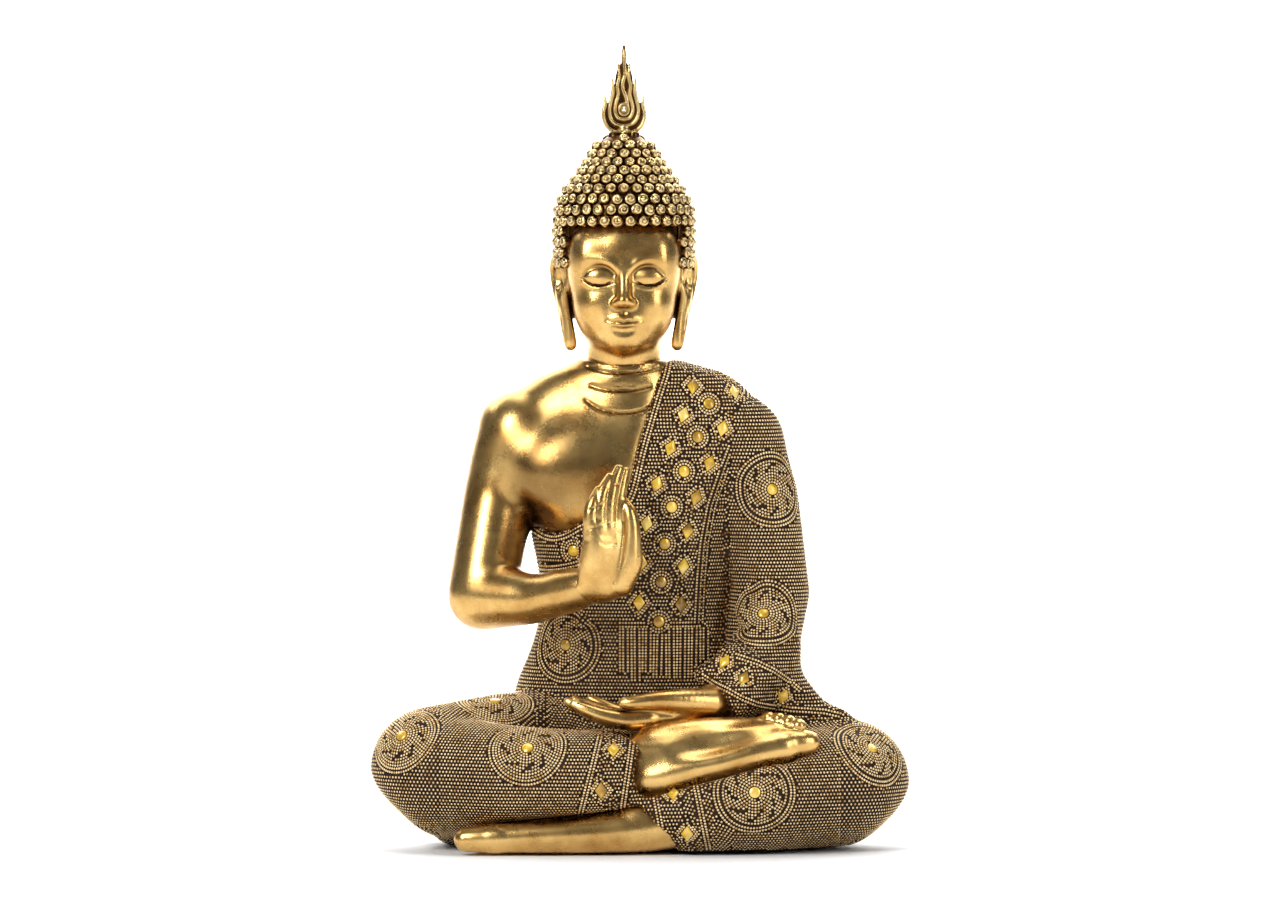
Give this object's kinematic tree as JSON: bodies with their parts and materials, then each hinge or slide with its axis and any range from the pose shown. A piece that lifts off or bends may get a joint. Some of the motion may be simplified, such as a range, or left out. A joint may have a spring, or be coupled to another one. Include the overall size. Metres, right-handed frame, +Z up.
{
  "type": "buddha statue",
  "caption": "Seated half-lotus figure with one hand raised, gilded skin, curled hair, a flame finial and a beaded robe set with mirrors.",
  "frame": {"origin": "middle of the footprint, on the surface that the statue stands on", "axes": "+Z up; the figure faces -Y; +X is to the figure's left"},
  "size_m": [0.267, 0.1458, 0.398],
  "materials": {
    "gilded_skin": "antique gold leaf over cast resin, satin",
    "beaded_robe": "raised gilt beads over a dark patina",
    "gilded_hair": "antique gold leaf, darker in the gaps",
    "jewel": "polished gilt",
    "amber_mirror": "amber-tinted mirror",
    "beech": "plain dowel",
    "steel": "plain rod",
    "board": "painted board",
    "felt": "felt"
  },
  "bodies": {
    "root": {"leg_casting": "beaded_robe", "robe_torso_casting": "beaded_robe", "bare_chest_casting": "gilded_skin", "left_sleeve_casting": "beaded_robe", "right_arm_casting": "gilded_skin", "right_hand": "gilded_skin", "left_hand": "gilded_skin", "right_foot": "gilded_skin", "left_foot": "gilded_skin", "head": "gilded_skin", "hair_cap": "gilded_hair", "hair_curls": "gilded_hair", "flame_finial": "gilded_hair", "flame_jewel": "jewel", "sash_diamond_mirrors": "amber_mirror", "sash_round_mirrors": "amber_mirror", "chest_band_round_mirror": "amber_mirror", "hip_round_mirror": "amber_mirror", "sleeve_round_mirrors": "amber_mirror", "sleeve_cuff_diamond_mirrors": "amber_mirror", "right_leg_round_mirrors": "amber_mirror", "left_leg_round_mirrors": "amber_mirror", "right_hem_diamond_mirrors": "amber_mirror", "left_hem_diamond_mirrors": "amber_mirror", "neck_dowel": "beech", "shoulder_dowel": "beech", "wrist_and_ankle_pins": "steel", "flame_pin": "steel", "base_board": "board", "felt_pads": "felt"}
  },
  "joints": []
}
